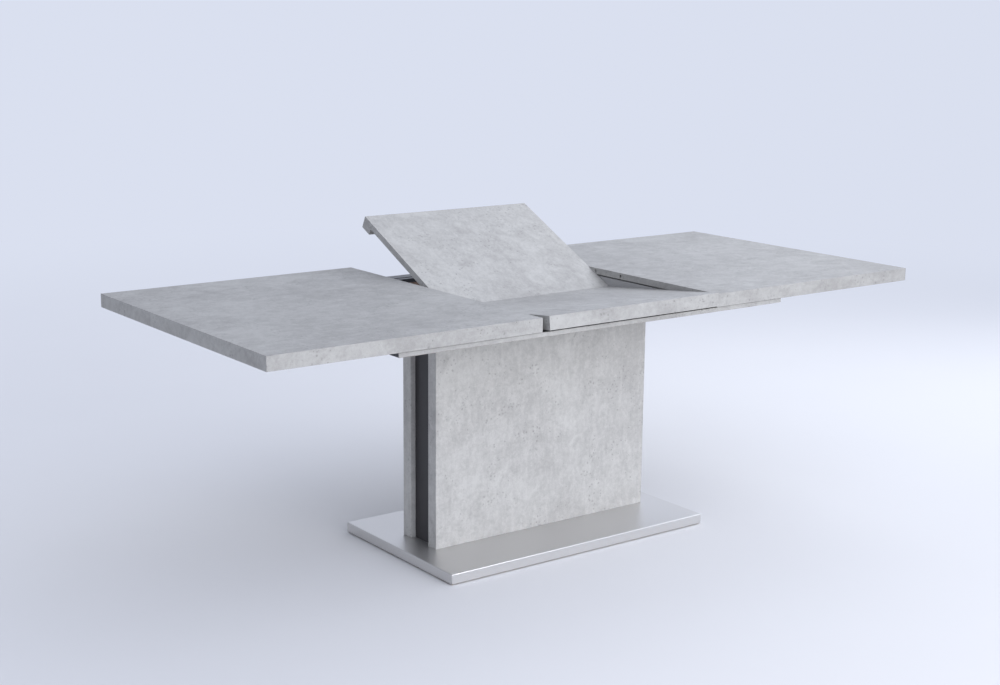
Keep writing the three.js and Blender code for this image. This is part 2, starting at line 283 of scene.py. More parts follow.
def add(tree, kind, inputs=None, output=0, **settings):
    """Adds one node with its settings and inputs, and returns one of its outputs if it has any."""
    node = tree.nodes.new(kind)
    for key, value in settings.items():
        setattr(node, key, value)
    for key, value in (inputs or {}).items():
        if isinstance(value, bpy.types.NodeSocket):
            tree.links.new(value, node.inputs[key])
        else:
            node.inputs[key].default_value = value
    return node.outputs[output] if node.outputs else None


def new_finish(name):
    """An empty material and its node tree."""
    made = bpy.data.materials.new(name)
    made.use_nodes = True
    made.node_tree.nodes.clear()
    return made, made.node_tree


def end_finish(tree, **surface):
    """Adds the shader with its values and links, and the output."""
    inputs = {key.replace("_", " "): value for key, value in surface.items()}
    shader = add(tree, "ShaderNodeBsdfPrincipled", inputs)
    add(tree, "ShaderNodeOutputMaterial", {"Surface": shader})


def rgba(colour, gain=1.0):
    """A colour with alpha, made lighter or darker by a gain. A hex code is read as sRGB."""
    if isinstance(colour, str):
        colour = linear(colour)
    return (*(c * gain for c in colour), 1.0)


def placed(tree, stretch=(1, 1, 1), shift=(0, 0, 0)):
    """The object's own coordinates in metres, scaled along each axis."""
    own = add(tree, "ShaderNodeTexCoord", output=3)
    return add(tree, "ShaderNodeMapping", {"Vector": own, "Scale": stretch, "Location": shift})


def noise(tree, spot, size, output=0, **settings):
    """Noise whose largest features are as wide as the size, in metres or in stretched units."""
    inputs = {"Vector": spot, "Scale": 1 / size}
    inputs.update({key.title(): value for key, value in settings.items()})
    return add(tree, "ShaderNodeTexNoise", inputs, output)


def ranged(tree, value, low, high, start, end, curve="LINEAR"):
    """A value carried from one range to another."""
    return add(tree, "ShaderNodeMapRange", interpolation_type=curve,
               inputs={"Value": value, "From Min": low, "From Max": high, "To Min": start, "To Max": end})


def maths(tree, operation, *values):
    """A sum on up to three values."""
    return add(tree, "ShaderNodeMath", dict(enumerate(values)), operation=operation)


def mixed(tree, share, one, two):
    """Two colours mixed by a share."""
    return add(tree, "ShaderNodeMix", {0: share, 6: one, 7: two}, output=2, data_type="RGBA")


def relief(tree, height, strength, depth):
    """Normals of a surface embossed by a height, to a depth in metres."""
    return add(tree, "ShaderNodeBump", {"Height": height, "Strength": strength, "Distance": depth})


def end_patterned(tree, pattern, tones, roughness, normal, **surface):
    """Ends a finish whose colour and roughness both follow one pattern."""
    shade = mixed(tree, pattern, *tones)
    rough = ranged(tree, pattern, 0.3, 0.7, *roughness)
    end_finish(tree, Base_Color=shade, Roughness=rough, Normal=normal, **surface)


def speckle(tree, spot, pitch, cover, bend):
    """Depth of small ragged pits, 0 to 1: cells of one pitch whose middles are pits as wide as cover."""
    wobble = noise(tree, spot, pitch / 2, output=1, detail=2.0)
    bent = add(tree, "ShaderNodeVectorMath", {0: wobble, 1: (bend, bend, bend), 2: spot},
               operation="MULTIPLY_ADD")
    cell = add(tree, "ShaderNodeTexVoronoi", {"Vector": bent, "Scale": 1 / pitch, "Randomness": 1.0})
    return ranged(tree, cell, 0.0, cover, 1.0, 0.0, "SMOOTHSTEP")


def concrete_decor(name, along, shift, gain):
    """Melamine-faced chipboard with a printed cement decor: matt, softly cloudy, with fine pits in
    drifts and pale trowel streaks along one direction of the sheet."""
    colours = bpy.context.scene.table_colours
    made, tree = new_finish(name)
    drawn_out = tuple(0.22 if axis == along else 1.0 for axis in "XYZ")
    flat = placed(tree, shift=shift)

    # Clouds 240 mm across, patches 55 mm, trowel streaks 16 mm wide and 70 mm long, a 10 mm mottle.
    cloud = noise(tree, flat, 0.24, detail=5.0, roughness=0.6, distortion=0.4)
    patch = noise(tree, flat, 0.055, detail=6.0, roughness=0.7, distortion=0.9)
    streak = noise(tree, placed(tree, drawn_out, shift), 0.016, detail=4.0, roughness=0.6, distortion=0.4)
    mottle = noise(tree, flat, 0.010, detail=4.0, roughness=0.75, distortion=0.8)
    blend = maths(tree, "MULTIPLY", cloud, 0.28)
    for layer, share in ((patch, 0.28), (streak, 0.17), (mottle, 0.27)):
        blend = maths(tree, "MULTIPLY_ADD", layer, share, blend)
    tone = ranged(tree, blend, 0.37, 0.62, 0.0, 1.0, "SMOOTHSTEP")
    # The gain paints light and shade: it makes this copy of the decor, its pits too, lighter or darker to match
    # how brightly its faces are lit.
    base = mixed(tree, tone, rgba(colours.cement_dark, gain), rgba(colours.cement_light, gain))

    # Drifts of pits 3 to 5 mm across gather in some patches; finer ones lie everywhere.
    drift = noise(tree, placed(tree, shift=(3.1, 1.7, 5.3)), 0.09, detail=4.0, roughness=0.6, distortion=0.4)
    gate = ranged(tree, drift, 0.46, 0.62, 0.06, 0.42, "SMOOTHSTEP")
    coarse = speckle(tree, flat, 0.012, gate, 0.006)
    fine = speckle(tree, flat, 0.006, 0.24, 0.003)
    depth = maths(tree, "MAXIMUM", coarse, maths(tree, "MULTIPLY", fine, 0.5))
    pitted = mixed(tree, maths(tree, "MULTIPLY", depth, 0.6), base, rgba(colours.cement_pit, gain))

    # The embossed face is a little glossier in its pale bloom than in the pits.
    gloss = ranged(tree, patch, 0.3, 0.7, 0.58, 0.47)
    height = maths(tree, "MULTIPLY_ADD", depth, -0.8, mottle)
    end_finish(tree, Base_Color=pitted, Roughness=gloss,
               Normal=relief(tree, height, 0.25, 0.15 * MM))
    return made


def brushed_stainless(name):
    """Stainless sheet brushed along X with a 240-grit belt: fine lines that draw reflections out
    across the brushing and leave them crisp along it. The lines are drawn 1.6 mm wide to show."""
    made, tree = new_finish(name)
    line = noise(tree, placed(tree, (1 / 0.12, 1 / 0.0016, 1 / 0.0016)), 1.0, detail=4.0, roughness=0.7)
    wipe = noise(tree, placed(tree, (0.4, 1, 1)), 0.15, detail=3.0, roughness=0.5)
    steel = bpy.context.scene.table_colours.steel
    shade = mixed(tree, line, rgba(steel, 0.9), rgba(steel, 1.06))
    rough = ranged(tree, line, 0.2, 0.8, 0.06, 0.12)
    rough = maths(tree, "MULTIPLY_ADD", wipe, 0.06, rough)
    across = add(tree, "ShaderNodeCombineXYZ", {"X": 0.0, "Y": 0.707, "Z": 0.707})
    end_finish(tree, Base_Color=shade, Metallic=1.0, Roughness=rough, Anisotropic=0.6,
               Tangent=across, Normal=relief(tree, line, 0.12, 0.05 * MM))
    return made


def chipboard(name):
    """Raw chipboard: pressed softwood flakes 2 to 6 mm long in tan and brown, dry and rough."""
    made, tree = new_finish(name)
    flat = placed(tree, (1, 1, 2.2))
    flake = add(tree, "ShaderNodeTexVoronoi", {"Vector": flat, "Scale": 1 / 0.004}, output=1)
    tint = add(tree, "ShaderNodeSeparateColor", {"Color": flake})
    dust = noise(tree, flat, 0.0015, detail=2.0)
    shade = mixed(tree, tint, rgba("#8a6a45"), rgba("#c9a878"))
    end_finish(tree, Base_Color=shade, Roughness=0.85, Normal=relief(tree, dust, 0.6, 0.4 * MM))
    return made


def moulded_plastic(name, code, rough):
    """Moulded plastic with a fine spark-eroded texture, 0.6 mm across, that breaks up its shine."""
    made, tree = new_finish(name)
    grain = noise(tree, placed(tree), 0.0006, detail=2.0)
    wear = noise(tree, placed(tree), 0.012, detail=3.0)
    end_patterned(tree, wear, (rgba(code, 0.85), rgba(code, 1.25)), (rough - 0.08, rough + 0.1),
                  relief(tree, grain, 0.3, 0.05 * MM), IOR=1.49)
    return made


def black_melamine(name):
    """Black melamine board: a dull pearl texture, 1.2 mm across, with faint dust and rubbing."""
    made, tree = new_finish(name)
    pearl = noise(tree, placed(tree), 0.0012, detail=3.0)
    dust = noise(tree, placed(tree, (1, 1, 0.4)), 0.09, detail=5.0, roughness=0.65)
    colour = bpy.context.scene.table_colours.black_board
    end_patterned(tree, dust, (rgba(colour, 0.8), rgba(colour, 1.35)), (0.42, 0.58),
                  relief(tree, pearl, 0.3, 0.06 * MM))
    return made


def zinc_plate(name):
    """Bright zinc-plated steel: a thin silvery coat, faintly clouded and finely drawn."""
    made, tree = new_finish(name)
    cloud = noise(tree, placed(tree), 0.006, detail=4.0)
    end_patterned(tree, cloud, (rgba("#a9adb0"), rgba("#d3d5d3")), (0.24, 0.42),
                  relief(tree, cloud, 0.1, 0.05 * MM), Metallic=1.0)
    return made


def powder_coat(name):
    """Black powder coat on steel tube: a hard skin with orange peel 1.5 mm across."""
    made, tree = new_finish(name)
    peel = noise(tree, placed(tree), 0.0015, detail=1.0)
    haze = noise(tree, placed(tree), 0.04, detail=4.0)
    end_patterned(tree, haze, (rgba("#1a1a1b"), rgba("#28282a")), (0.36, 0.5),
                  relief(tree, peel, 0.35, 0.08 * MM))
    return made


def anodised_aluminium(name):
    """Dark anodised aluminium extrusion: faint die lines 1 mm apart run along X."""
    made, tree = new_finish(name)
    line = noise(tree, placed(tree, (1 / 0.4, 1 / 0.001, 1 / 0.001)), 1.0, detail=2.0)
    end_patterned(tree, line, (rgba("#38383a"), rgba("#4c4c4f")), (0.3, 0.45),
                  relief(tree, line, 0.1, 0.05 * MM), Metallic=1.0)
    return made


def grey_foil(name):
    """Grey paper foil wrapped on board: even and matt, with a soft fibre 3 mm across."""
    made, tree = new_finish(name)
    fibre = noise(tree, placed(tree, (1, 0.25, 1)), 0.003, detail=3.0)
    colour = bpy.context.scene.table_colours.grey_foil
    end_patterned(tree, fibre, (rgba(colour, 0.9), rgba(colour, 1.08)), (0.5, 0.6),
                  relief(tree, fibre, 0.15, 0.05 * MM))
    return made


def straight_wood(name, colour, rough):
    """Planed hardwood, straight-grained along X: growth lines 10 mm apart and fine pores."""
    made, tree = new_finish(name)
    grain = noise(tree, placed(tree, (1 / 0.30, 1 / 0.010, 1 / 0.010)), 1.0, detail=5.0, roughness=0.6,
                  distortion=0.6)
    pore = noise(tree, placed(tree, (1 / 0.020, 1 / 0.0008, 1 / 0.0008)), 1.0, detail=2.0)
    tone = ranged(tree, grain, 0.3, 0.7, 0.0, 1.0)
    shade = mixed(tree, tone, rgba(colour, 0.7), rgba(colour, 1.3))
    open_pore = ranged(tree, pore, 0.58, 0.7, 0.0, 0.5)
    shade = mixed(tree, open_pore, shade, rgba(colour, 0.4))
    end_finish(tree, Base_Color=shade, Roughness=rough, Normal=relief(tree, pore, 0.25, 0.1 * MM))
    return made


def stained_hardwood(name):
    """Hardwood batten under a dark brown stain."""
    return straight_wood(name, bpy.context.scene.table_colours.dark_wood, 0.55)


def beech(name):
    """Pale beech dowel, bare and dry."""
    return straight_wood(name, "#cda777", 0.65)


def decor(along, shift, gain):
    """A sheet of the cement decor: its streaks' direction, the part of the print, and a gain that paints light and
    shade, making the sheet lighter or darker as its faces are lit.
    """
    return lambda name: concrete_decor(name, along, shift, gain)


# Each finish: the record's slot that it stands for, and the function that makes it.
FINISHES = {
    # The cement decor copies differ by painted light and shade: the slab copy is painted lighter, the top and band
    # copies darker, and the insert copy stays almost as printed, to match how brightly their faces are lit.
    "cement_decor_top": ("concrete_laminate", decor("X", (0, 0, 0), 0.93)),
    "cement_decor_insert": ("concrete_laminate", decor("Y", (2.3, 0.7, 0.4), 0.99)),
    "cement_decor_slab": ("concrete_laminate", decor("Z", (0.6, 4.1, 1.9), 1.14)),
    "cement_decor_band": ("concrete_laminate", decor("X", (5.2, 2.2, 3.4), 0.88)),
    "brushed_stainless": ("brushed_stainless", brushed_stainless),
    "raw_chipboard": ("core_board", chipboard),
    "moulded_glide": ("glide_plastic", lambda name: moulded_plastic(name, "#1d1d1f", 0.5)),
    "moulded_stop": ("stop_plastic", lambda name: moulded_plastic(name, "#232324", 0.45)),
    "black_melamine": ("black_laminate", black_melamine),
    "zinc_plate": ("zinc_steel", zinc_plate),
    "powder_coat": ("black_painted_steel", powder_coat),
    "anodised_aluminium": ("dark_aluminium", anodised_aluminium),
    "grey_foil": ("grey_board", grey_foil),
    "stained_hardwood": ("stained_hardwood", stained_hardwood),
    "beech": ("beech", beech),
}


def dress(made, finish):
    """Gives an object its finish, made when it is first asked for."""
    slot, make = FINISHES[finish]
    made.data.materials.append(bpy.data.materials.get(finish) or make(finish))


def add_piece(name, bm, finish, body, replaces=(), turn=LEVEL):
    """Makes the object, gives it its finish, ties it to its body, and hides the nodes that it replaces."""
    bmesh.ops.transform(bm, matrix=turn, verts=bm.verts)
    mesh = bpy.data.meshes.new(name)
    bm.to_mesh(mesh)
    bm.free()
    made = bpy.data.objects.new(name, mesh)
    bpy.context.scene.collection.objects.link(made)
    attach(made, body)
    dress(made, finish)
    if replaces:
        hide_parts(*replaces)


def show_node(node, finish):
    """Gives a node that keeps its own shape its finish."""
    shown = frame["nodes"][node]
    shown.data.materials.clear()
    dress(shown, finish)


def add_screws(name, heads, body="base", turn=LEVEL):
    """One piece that holds all the zinc-plated heads of one kind."""
    add_piece(name, gather(heads), "zinc_plate", body, turn=turn)


# ---- Boards ----

def on_plane(bm, axis, value):
    """The edges that lie in the plane where one coordinate has a value."""
    return [e for e in bm.edges if all(abs(v.co[axis] - value) < 0.01 * MM for v in e.verts)]


def trim(bm, axis, value, side):
    """Moves what lies beyond a plane back onto it. side says which way is outward."""
    for vert in bm.verts:
        if (vert.co[axis] - value) * side > 0:
            vert.co[axis] = value
    return bm


def edge_band(low, high, axis, side, sizes):
    """The band on one side of a box, with the two long edges of its outer face rounded."""
    low, high = low.copy(), high.copy()
    if side > 0:
        low[axis] = high[axis] - sizes.band
    else:
        high[axis] = low[axis] + sizes.band
    outer = high[axis] if side > 0 else low[axis]
    bm = block(low, high)
    return soften(bm, sizes.band_round, 2, on_plane(bm, axis, outer))


class DINING_OT_leaf(bpy.types.Operator):
    """Both leaves: a faced board, doubling strips under its outer edges, and a band round them"""
    bl_idname = "dining.leaf"
    bl_label = "Leaves"

    def execute(self, context):
        sizes = context.scene.table_sizes
        for end, ex in ENDS:
            body, board = f"{end}_leaf", f"leaf_{end}"
            low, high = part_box(board)
            outer, inner = (low.x, high.x) if ex < 0 else (high.x, low.x)
            core_x = outer - ex * sizes.band
            core_y = high.y - sizes.band

            def core(bm):
                """Cuts a board back to where its bands begin."""
                trim(bm, 0, core_x, ex)
                trim(bm, 1, core_y, 1)
                return trim(bm, 1, -core_y, -1)

            bm = core(merged_copy(board))
            soften(bm, sizes.board_round, 2, on_plane(bm, 0, inner))
            add_piece(f"{board}_board", bm, "cement_decor_top", body, [board])
            for place in ("front", "rear", "end"):
                node = f"{board}_edge_{place}"
                add_piece(f"{board}_strip_{place}", core(cuboid(*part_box(node), sizes.board_round)),
                          "cement_decor_top", body, [node])

            low.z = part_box(f"{board}_edge_end")[0].z
            add_piece(f"{board}_band_end", edge_band(low, high, 0, ex, sizes), "cement_decor_band", body)
            seam = 0.1 * MM
            low.x, high.x = sorted((inner, core_x - ex * seam))
            for side, sy in SIDES:
                add_piece(f"{board}_band_{side}", edge_band(low, high, 1, sy, sizes), "cement_decor_band",
                          body)
        return {"FINISHED"}


class DINING_OT_insert(bpy.types.Operator):
    """Both halves of the insert: a faced board, a doubling strip and a band on its outer edge"""
    bl_idname = "dining.insert"
    bl_label = "Insert halves"

    def execute(self, context):
        sizes = context.scene.table_sizes
        for side, sy in SIDES:
            body, board, turn = f"insert_{side}_half", f"insert_{side}", TURNS[side]
            strip = f"{board}_edge"
            low, high = flat_box(board, turn)
            core_y = (high.y if sy > 0 else low.y) - sy * sizes.band
            bm = trim(merged_copy(board, turn), 1, core_y, sy)
            band_side = on_plane(bm, 1, core_y)
            soften(bm, sizes.board_round, 2, [e for e in sharp(bm) if e not in band_side])
            add_piece(f"{board}_board", bm, "cement_decor_insert", body, [board], turn)
            strip_low, strip_high = flat_box(strip, turn)
            bm = trim(cuboid(strip_low, strip_high, sizes.board_round), 1, core_y, sy)
            add_piece(f"{board}_strip", bm, "cement_decor_insert", body, [strip], turn)
            low.z = min(low.z, strip_low.z)
            add_piece(f"{board}_band", edge_band(low, high, 1, sy, sizes), "cement_decor_band", body,
                      turn=turn)
        return {"FINISHED"}


class DINING_OT_slabs(bpy.types.Operator):
    """The pedestal's two slabs, with a band on each upright end"""
    bl_idname = "dining.slabs"
    bl_label = "Pedestal slabs"

    def execute(self, context):
        sizes = context.scene.table_sizes
        inset = Vector((sizes.band, 0, 0))
        for side, _ in SIDES:
            node = f"pedestal_panel_{side}"
            low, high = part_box(node)
            slab = cuboid(low + inset, high - inset, sizes.board_round)
            add_piece(f"slab_{side}", slab, "cement_decor_slab", "base", [node])
            for end, ex in ENDS:
                add_piece(f"slab_{side}_band_{end}", edge_band(low, high, 0, ex, sizes), "cement_decor_slab",
                          "base")
        return {"FINISHED"}


class DINING_OT_spacers(bpy.types.Operator):
    """The black boards that close the space between the slabs, and the cap that lies on them"""
    bl_idname = "dining.spacers"
    bl_label = "Spacer boards"

    def execute(self, context):
        edge = context.scene.table_sizes.board_round
        for end, _ in ENDS:
            node = f"pedestal_spacer_{end}"
            add_piece(f"spacer_{end}", cuboid(*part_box(node), edge), "black_melamine", "base", [node])
        cap = "pedestal_cap"
        add_piece("spacer_cap", eased_copy(cap, edge), "black_melamine", "base", [cap])
        return {"FINISHED"}


# ---- Base plate ----

class DINING_OT_base(bpy.types.Operator):
    """The base plate: a folded steel tray over a raw board"""
    bl_idname = "dining.base"
    bl_label = "Base plate"

    def execute(self, context):
        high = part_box("base_skin")[1] - Vector((0.1, 0.1, 0.1)) * MM
        bm = merged_copy("base_skin")
        folded = []
        for edge in sharp(bm):
            middle = (edge.verts[0].co + edge.verts[1].co) / 2
            if sum((abs(middle.x) > high.x, abs(middle.y) > high.y, middle.z > high.z)) == 2:
                folded.append(edge)
        soften(bm, context.scene.table_sizes.sheet_bend, 4, folded)
        add_piece("base_tray", bm, "brushed_stainless", "base", ["base_skin"])
        show_node("base_core", "raw_chipboard")
        return {"FINISHED"}


class DINING_OT_glides(bpy.types.Operator):
    """Moulded glides under the base plate, each with a sunk screw"""
    bl_idname = "dining.glides"
    bl_label = "Glides"

    def execute(self, context):
        cup, well, sunk = 7 * MM, 5 * MM, 2 * MM
        heads = []
        for place in ["centre"] + [f"{end}_{side}" for end, _ in ENDS for side, _ in SIDES]:
            node = f"glide_{place}"
            low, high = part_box(node)
            radius, middle = (high.x - low.x) / 2, (low + high) / 2
            glide = lathe([(0, high.z), (radius, high.z), (radius, 1.6 * MM), (radius - 0.5 * MM, 0.5 * MM),
                           (radius - 1.6 * MM, 0), (cup, 0), (well, sunk), (0, sunk)], steps=48)
            bmesh.ops.translate(glide, vec=(middle.x, middle.y, 0), verts=glide.verts)
            add_piece(f"{node}_disc", glide, "moulded_glide", "base", [node])
            heads.append(screw_head((middle.x, middle.y, sunk), (0, 0, -1), 4 * MM, 1.4 * MM))
        add_screws("glide_screws", heads)
        return {"FINISHED"}


class DINING_OT_tie_rods(bpy.types.Operator):
    """The four tie rods that clamp the pedestal: hexagon head, rolled thread, washer and nut"""
    bl_idname = "dining.tie_rods"
    bl_label = "Tie rods"

    def execute(self, context):
        pitch, shank, thread_l = 1.5 * MM, 4.6 * MM, 36 * MM
        head_r, head_h, nut_h = 9 * MM, 6 * MM, 7 * MM
        washer_r, bore, washer_t = 10 * MM, 5.3 * MM, 1.4 * MM
        cap_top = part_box("pedestal_cap")[1].z
        nut = cap_top + 1.5 * MM
        for number in range(1, 5):
            node = f"tie_rod_{number}"
            low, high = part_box(node)
            middle, top = (low + high) / 2, high.z
            profile = [(0, low.z + head_h / 2), (shank, low.z + head_h / 2), (shank, top - thread_l)]
            for turn in range(int(thread_l / pitch) - 1):
                z = top - thread_l + turn * pitch
                profile += [(shank - 0.7 * MM, z + pitch * 0.25), (shank + 0.3 * MM, z + pitch * 0.75)]
            profile += [(shank - 0.9 * MM, top), (0, top)]
            washer = [(bore, cap_top), (washer_r, cap_top), (washer_r, cap_top + washer_t),
                      (bore, cap_top + washer_t), (bore, cap_top)]
            whole = gather([lathe(profile, steps=16), lathe(washer), hexagon(head_r, low.z, low.z + head_h),
                            hexagon(head_r, nut, nut + nut_h)])
            bmesh.ops.translate(whole, vec=(middle.x, middle.y, 0), verts=whole.verts)
            add_piece(f"{node}_screw", whole, "zinc_plate", "base", [node])
        return {"FINISHED"}


# ---- Frame ----

class DINING_OT_risers(bpy.types.Operator):
    """The two square tubes that carry the frame, with the screws that hold them"""
    bl_idname = "dining.risers"
    bl_label = "Risers"

    def execute(self, context):
        wall, screw_y = 3 * MM, 55 * MM
        heads = []
        for end, _ in ENDS:
            node = f"riser_{end}"
            low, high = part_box(node)
            bm = merged_copy(node)
            corners = []
            for edge in sharp(bm):
                one, two = (v.co for v in edge.verts)
                if abs((one - two).normalized().y) > 0.99 and min(one.z - low.z, high.z - one.z) < 0.1 * MM:
                    corners.append(edge)
            soften(bm, context.scene.table_sizes.tube_round, 4, corners)
            add_piece(f"{node}_tube", bm, "powder_coat", "base", [node])
            x = (low.x + high.x) / 2
            for y in (-screw_y, screw_y):
                for z, way in ((low.z + wall, 1), (high.z - wall, -1)):
                    heads.append(screw_head((x, y, z), (0, 0, way), 7 * MM, 4 * MM, 0.6, 6))
        add_screws("riser_screws", heads)
        return {"FINISHED"}


class DINING_OT_cross_rails(bpy.types.Operator):
    """The two cross rails, the flanged bushes that the insert turns in, and corner brackets"""
    bl_idname = "dining.cross_rails"
    bl_label = "Cross rails"

    def execute(self, context):
        pivot = Vector(joint("insert_tilt")["pos_m"])
        bore, flange, flange_t = 5.6 * MM, 9 * MM, 1.5 * MM
        profile = [(bore, 0), (flange, 0), (flange, 1.1 * MM), (8.6 * MM, flange_t),
                   (bore, flange_t), (bore, 0)]
        plate_t, arm, z0, z1 = 2.5 * MM, 28 * MM, 694 * MM, 707 * MM
        far, z = arm * 0.65, (z0 + z1) / 2
        heads, plates = [], []
        for end, ex in ENDS:
            node = f"cross_rail_{end}"
            low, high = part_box(node)
            add_piece(f"{node}_board", soften(merged_copy(node), 1.0 * MM), "grey_foil", "base", [node])
            well = high.x if ex < 0 else low.x
            bush = aim(lathe(profile, steps=40), (well, pivot.y, pivot.z), (-ex, 0, 0))
            add_piece(f"pivot_bush_{end}", bush, "moulded_stop", "base")

            # Each corner bracket has one arm along the cross rail and one along the stiffener.
            for side, sy in SIDES:
                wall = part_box(f"stiffener_{side}")
                y = wall[1].y if sy < 0 else wall[0].y
                for dx0, dx1, dy0, dy1 in ((0, plate_t, 0, arm), (plate_t, arm, 0, plate_t)):
                    x0, x1 = sorted((well - ex * dx0, well - ex * dx1))
                    y0, y1 = sorted((y - sy * dy0, y - sy * dy1))
                    plates.append(cuboid((x0, y0, z0), (x1, y1, z1), 0.5 * MM))
                for place, way in (((well - ex * plate_t, y - sy * far, z), (-ex, 0, 0)),
                                   ((well - ex * far, y - sy * plate_t, z), (0, -sy, 0))):
                    heads.append(screw_head(place, way, 3.6 * MM, 2 * MM))
        add_piece("corner_brackets", gather(plates), "zinc_plate", "base")
        add_screws("corner_screws", heads)
        return {"FINISHED"}


class DINING_OT_long_rails(bpy.types.Operator):
    """The two slotted aluminium rails, the screws sunk in their slots, and the faced aprons"""
    bl_idname = "dining.long_rails"
    bl_label = "Long rails"

    def execute(self, context):
        edge, screws = 0.5 * MM, 8
        heads = []
        for side, _ in SIDES:
            node, apron = f"rail_{side}", f"apron_{side}"
            low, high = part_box(node)
            add_piece(f"{node}_profile", eased_copy(node, edge), "anodised_aluminium", "base", [node])
            add_piece(f"{apron}_strip", cuboid(*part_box(apron), edge), "cement_decor_band", "base", [apron])
            stop_low, stop_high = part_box(f"slot_stop_left_{side}")
            slot_y, floor_z = (stop_low.y + stop_high.y) / 2, stop_low.z - 0.3 * MM
            for i in range(screws):
                x = low.x + (high.x - low.x) * (i + 0.5) / screws
                heads.append(screw_head((x, slot_y, floor_z), (0, 0, 1), 3.4 * MM, 0.4 * MM))
        add_screws("rail_screws", heads)
        return {"FINISHED"}


class DINING_OT_battens(bpy.types.Operator):
    """The stained battens under the frame: two stiffeners, two end rails, and their screws"""
    bl_idname = "dining.battens"
    bl_label = "Battens"

    def execute(self, context):
        radius = context.scene.table_sizes.batten_round
        heads = []
        for node in ("stiffener_front", "stiffener_rear", "end_rail_left", "end_rail_right"):
            add_piece(f"{node}_batten", cuboid(*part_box(node), radius, 3), "stained_hardwood", "base", [node])
        for side, sy in SIDES:
            low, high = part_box(f"stiffener_{side}")
            outer, z = (low.y if sy < 0 else high.y), (low.z + high.z) / 2
            for rail in ("end_rail_left", "end_rail_right", "cross_rail_left", "cross_rail_right"):
                rail_low, rail_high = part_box(rail)
                place = ((rail_low.x + rail_high.x) / 2, outer, z)
                heads.append(screw_head(place, (0, sy, 0), 4 * MM, 2.2 * MM))
        add_screws("batten_screws", heads)
        return {"FINISHED"}


class DINING_OT_slot_stops(bpy.types.Operator):
    """The plugs that close the rails' slots, each with a ribbed grip and a screw"""
    bl_idname = "dining.slot_stops"
    bl_label = "Slot stops"

    def execute(self, context):
        ribs, inset, rib_h = 4, 0.5 * MM, 1 * MM
        heads = []
        for end, ex in ENDS:
            for side, _ in SIDES:
                node = f"slot_stop_{end}_{side}"
                low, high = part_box(node)
                rib = (high.x - low.x) / (2 * ribs - 1)
                shell = [cuboid(low, (high.x, high.y, high.z - inset), 0.3 * MM)]
                for i in range(ribs):
                    x = low.x + 2 * i * rib
                    shell.append(cuboid((x, low.y + inset, high.z - rib_h), (x + rib, high.y - inset, high.z),
                                        0.2 * MM))
                add_piece(f"{node}_plug", gather(shell), "moulded_stop", "base", [node])
                middle = (low + high) / 2
                middle.x = low.x if ex < 0 else high.x
                heads.append(screw_head(middle, (ex, 0, 0), 1.9 * MM, 1.0 * MM))
        add_screws("stop_screws", heads)
        return {"FINISHED"}


# ---- Sliding and turning fittings ----

class DINING_OT_runners(bpy.types.Operator):
    """The T-shaped runners under the leaves"""
    bl_idname = "dining.runners"
    bl_label = "Runners"

    def execute(self, context):
        for end, _ in ENDS:
            for side, _ in SIDES:
                node = f"leaf_{end}_runner_{side}"
                add_piece(f"{node}_batten", eased_copy(node, 0.4 * MM), "stained_hardwood", f"{end}_leaf",
                          [node])
        return {"FINISHED"}


class DINING_OT_dowels(bpy.types.Operator):
    """Fluted beech dowels that line the leaf up with the insert"""
    bl_idname = "dining.dowels"
    bl_label = "Dowels"

    def execute(self, context):
        flutes, flute_depth, tip, chamfer = 18, 0.93, 0.82, 1 * MM
        for side, _ in SIDES:
            node = f"dowel_{side}"
            low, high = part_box(node)
            middle, radius, length = (low + high) / 2, (high.y - low.y) / 2, high.x - low.x
            bm = bmesh.new()
            ring = bmesh.ops.create_circle(bm, cap_ends=True, segments=2 * flutes, radius=radius)["verts"]
            for vert in list(ring)[1::2]:
                vert.co *= flute_depth
            bmesh.ops.scale(bm, vec=(tip, tip, 1), verts=bm.verts)
            top = list(bm.faces)
            for rise, factor in ((chamfer, 1 / tip), (length - 2 * chamfer, 1), (chamfer, tip)):
                top = bmesh.ops.extrude_discrete_faces(bm, faces=top)["faces"]
                bmesh.ops.translate(bm, vec=(0, 0, rise), verts=top[0].verts)
                bmesh.ops.scale(bm, vec=(factor, factor, 1), verts=top[0].verts)
            bmesh.ops.recalc_face_normals(bm, faces=bm.faces)
            aim(bm, (low.x, middle.y, middle.z), (1, 0, 0))
            add_piece(f"{node}_fluted", bm, "beech", "left_leaf", [node])
        return {"FINISHED"}


def hinge_barrel(radius, length):
    """A ribbed barrel along +Z with a square-cornered pocket in the face at z = 0."""
    ribs, groove = 7, 0.5 * MM
    half_x, half_y, pocket = 3.5 * MM, 4.2 * MM, 13 * MM
    profile = [(0, length), (radius - 0.6 * MM, length)]
    pitch = (length - 4 * MM) / ribs
    for i in range(ribs):
        z = length - i * pitch
        profile += [(radius, z - pitch * 0.3), (radius - groove, z - pitch * 0.95)]
    profile += [(radius - groove, 1.6 * MM), (radius, 1.4 * MM), (radius, 0), (0, 0)]
    bm = lathe(profile, steps=40)
    sink(bm, 0, 0.3 * MM, pocket,
         lambda a: min(half_x / max(abs(math.cos(a)), 1e-6), half_y / max(abs(math.sin(a)), 1e-6)))
    bmesh.ops.recalc_face_normals(bm, faces=bm.faces)
    return bm


def curved_link(x):
    """A flat steel link bent round the crease, hanging under it, at a distance along it."""
    half_t, inner, outer, half_angle = 0.75 * MM, 7.8 * MM, 11.4 * MM, math.radians(42)
    bm = bmesh.new()
    start = Matrix.Rotation(-half_angle, 3, "X")
    profile = [start @ Vector((px, 0, -radius)) for px, radius in
               ((x - half_t, inner), (x + half_t, inner), (x + half_t, outer), (x - half_t, outer))]
    face = bm.faces.new([bm.verts.new(point) for point in profile])
    bmesh.ops.spin(bm, geom=[face, *face.edges, *face.verts], cent=(0, 0, 0), axis=(1, 0, 0),
                   angle=2 * half_angle, steps=14, use_merge=False)
    bmesh.ops.recalc_face_normals(bm, faces=bm.faces)
    return bm


